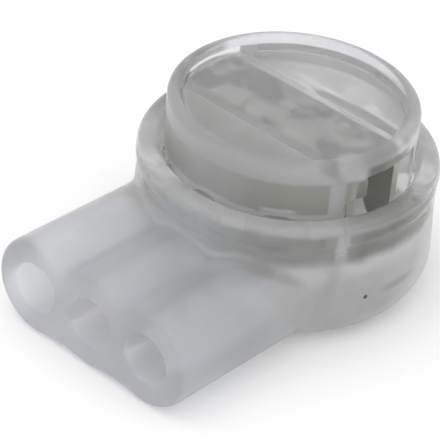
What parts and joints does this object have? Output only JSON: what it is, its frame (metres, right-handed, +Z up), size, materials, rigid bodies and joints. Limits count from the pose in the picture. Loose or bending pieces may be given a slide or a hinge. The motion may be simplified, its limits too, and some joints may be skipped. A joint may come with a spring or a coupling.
{
  "type": "wire connector",
  "caption": "Gel-filled butt connector for thin wires: a clear round press cap pushes a slotted contact down onto wires held in parallel tubes.",
  "frame": {"origin": "on the axis of the round cup, in the plane of its flat base", "axes": "+Z up along the cup's axis, out of the press cap; the wire tubes point along -Y and stand side by side along X"},
  "size_m": [0.0142, 0.0198, 0.009],
  "materials": {
    "milky_polypropylene": "translucent natural polypropylene, moulded, half gloss",
    "clear_polypropylene": "translucent natural polypropylene, moulded, gloss",
    "tinned_metal": "tin-plated sheet, stamped and folded",
    "sealing_gel": "clear soft grease-like gel"
  },
  "bodies": {
    "housing_body": {"housing": "milky_polypropylene", "sealing_gel": "sealing_gel"},
    "cap_body": {"cap": "clear_polypropylene", "contact_element": "tinned_metal"}
  },
  "joints": [
    {"name": "cap_press", "type": "slide", "parent": "housing_body", "child": "cap_body", "axis": [0, 0, -1], "range_m": [0, 0.00265], "deforming": ["sealing_gel"]}
  ]
}
